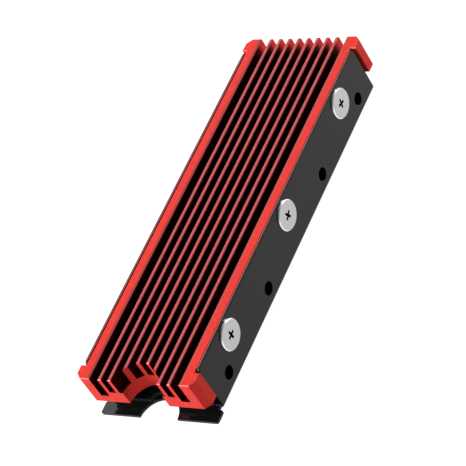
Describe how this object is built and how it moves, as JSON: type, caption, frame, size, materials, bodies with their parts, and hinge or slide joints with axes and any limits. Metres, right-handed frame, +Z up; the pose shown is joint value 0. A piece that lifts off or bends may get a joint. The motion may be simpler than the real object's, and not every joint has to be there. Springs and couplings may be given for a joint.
{
  "type": "solid state drive",
  "caption": "Stick-shaped plug-in storage drive in a finned red heatsink, clamped by side screws to a black bent-metal tray with a round notch at one end.",
  "frame": {"origin": "middle of the footprint, on the tray's underside", "axes": "+Z up through the fins, +Y along the drive from the notch to the edge contacts, +X across"},
  "size_m": [0.0252, 0.0822, 0.0104],
  "materials": {
    "red_anodised": "satin red anodised",
    "black_sheet": "satin black",
    "screw_steel": "bright nickel-plated",
    "board_mask": "black solder mask on glass-epoxy laminate",
    "pad_silicone": "soft matt silicone",
    "package_epoxy": "moulded epoxy",
    "gold_plate": "gold-plated copper",
    "crystal_can": "satin",
    "coil_ferrite": "ferrite grey",
    "capacitor_ceramic": "ceramic brown",
    "resistor_film": "ceramic with black film"
  },
  "bodies": {
    "case": {"heatsink": "red_anodised", "tray": "black_sheet", "board": "board_mask", "thermal_pad_upper": "pad_silicone", "thermal_pad_lower": "pad_silicone", "flash_upper_first": "package_epoxy", "flash_upper_second": "package_epoxy", "flash_lower_first": "package_epoxy", "flash_lower_second": "package_epoxy", "controller": "package_epoxy", "memory_cache": "package_epoxy", "power_regulator": "package_epoxy", "clock_crystal": "crystal_can", "power_coils": "coil_ferrite", "capacitors": "capacitor_ceramic", "resistors": "resistor_film", "contacts_upper": "gold_plate", "contacts_lower": "gold_plate"},
    "screw_right_near": {"screw_right_near": "screw_steel"},
    "screw_right_middle": {"screw_right_middle": "screw_steel"},
    "screw_right_far": {"screw_right_far": "screw_steel"},
    "screw_left_near": {"screw_left_near": "screw_steel"},
    "screw_left_middle": {"screw_left_middle": "screw_steel"},
    "screw_left_far": {"screw_left_far": "screw_steel"}
  },
  "joints": [
    {"name": "screw_right_near_turn", "type": "hinge", "parent": "case", "child": "screw_right_near", "pos_m": [0.01215, -0.02751, 0.00715], "axis": [1, 0, 0], "continuous": true},
    {"name": "screw_right_middle_turn", "type": "hinge", "parent": "case", "child": "screw_right_middle", "pos_m": [0.01215, -0.00101, 0.00715], "axis": [1, 0, 0], "continuous": true},
    {"name": "screw_right_far_turn", "type": "hinge", "parent": "case", "child": "screw_right_far", "pos_m": [0.01215, 0.02549, 0.00715], "axis": [1, 0, 0], "continuous": true},
    {"name": "screw_left_near_turn", "type": "hinge", "parent": "case", "child": "screw_left_near", "pos_m": [-0.01215, -0.02751, 0.00715], "axis": [-1, 0, 0], "continuous": true},
    {"name": "screw_left_middle_turn", "type": "hinge", "parent": "case", "child": "screw_left_middle", "pos_m": [-0.01215, -0.00101, 0.00715], "axis": [-1, 0, 0], "continuous": true},
    {"name": "screw_left_far_turn", "type": "hinge", "parent": "case", "child": "screw_left_far", "pos_m": [-0.01215, 0.02549, 0.00715], "axis": [-1, 0, 0], "continuous": true}
  ]
}
